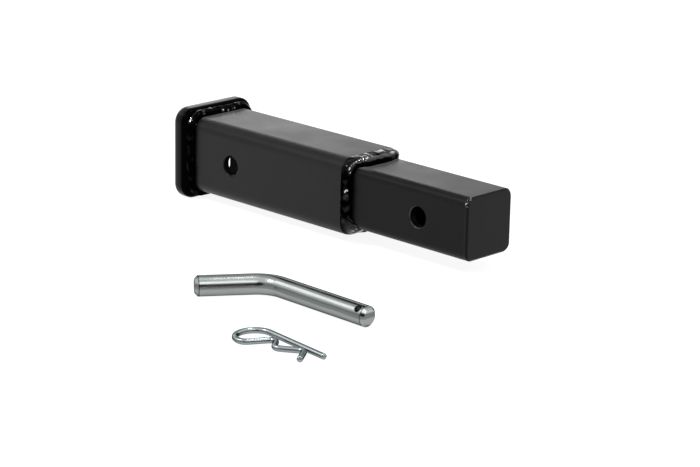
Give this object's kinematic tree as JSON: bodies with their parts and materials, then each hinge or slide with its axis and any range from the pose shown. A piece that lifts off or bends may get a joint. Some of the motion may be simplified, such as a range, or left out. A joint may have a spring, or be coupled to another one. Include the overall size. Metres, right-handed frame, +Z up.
{
  "type": "hitch receiver extender",
  "caption": "Square receiver tube with a collared mouth, welded to a smaller square shank, with its bent hitch pin and hairpin clip.",
  "frame": {"origin": "on the tube's axis at the shank's pin hole", "axes": "+X along the tube towards the shank's closed end, +Y along the shank's pin hole to the far side, +Z up"},
  "size_m": [0.3724, 0.2916, 0.077],
  "materials": {
    "coated_tube": "black powder coat, fine texture, semi-gloss",
    "coated_collar": "black powder coat, semi-gloss",
    "coated_weld": "black powder coat over weld bead, gloss",
    "coated_shank": "black powder coat, fine texture, semi-gloss",
    "plated_pin": "bright zinc plate, drawn lengthwise",
    "plated_clip": "zinc-plated spring wire"
  },
  "bodies": {
    "root": {"receiver_tube": "coated_tube", "receiver_collar": "coated_collar", "collar_weld": "coated_weld", "shank_tube": "coated_shank", "step_weld": "coated_weld", "shank_end_cap": "coated_shank", "cap_weld": "coated_shank", "hitch_pin": "plated_pin", "hairpin_clip": "plated_clip"}
  },
  "joints": []
}
